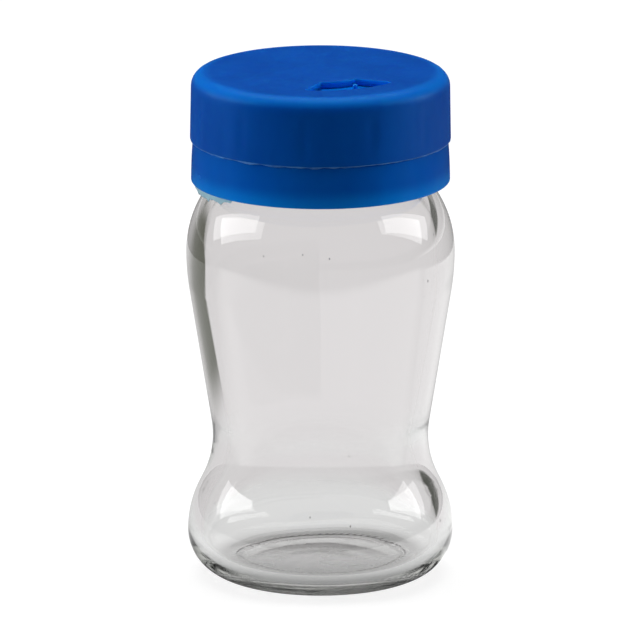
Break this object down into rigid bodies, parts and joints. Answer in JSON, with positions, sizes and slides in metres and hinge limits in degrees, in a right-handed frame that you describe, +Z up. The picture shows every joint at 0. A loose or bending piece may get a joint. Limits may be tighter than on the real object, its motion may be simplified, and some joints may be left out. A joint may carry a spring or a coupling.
{
  "type": "spice jar",
  "caption": "Waisted clear glass spice jar with a screw-on shaker closure whose cover turns to open sprinkle holes or a pour hole.",
  "frame": {"origin": "middle of the jar's footprint, on the surface it stands on", "axes": "+Z up along the jar's axis, -Y towards the front of the picture, +X to its right"},
  "size_m": [0.0534, 0.0534, 0.1026],
  "materials": {
    "glass": "clear, fire polished",
    "seal": "soft matte liner",
    "base_plastic": "glossy moulded polypropylene",
    "cover_plastic": "satin moulded polypropylene"
  },
  "bodies": {
    "jar": {"glass_jar": "glass"},
    "seal": {"rim_gasket": "seal"},
    "closure": {"sifter_base": "base_plastic"},
    "cover": {"rotating_cover": "cover_plastic"}
  },
  "joints": [
    {"name": "closure_lift", "type": "slide", "parent": "jar", "child": "seal", "axis": [0, 0, 1], "range_m": [0, 0.02]},
    {"name": "closure_turn", "type": "hinge", "parent": "seal", "child": "closure", "pos_m": [0, 0, 0.0999], "axis": [0, 0, 1], "range_deg": [0, 1710]},
    {"name": "cover_turn", "type": "hinge", "parent": "closure", "child": "cover", "pos_m": [0, 0, 0.1012], "axis": [0, 0, 1], "range_deg": [-19.5, 35.5]}
  ],
  "couplings": [
    {"joint": "closure_lift", "follows": "closure_turn", "m_per_rad": 0.00066845}
  ]
}
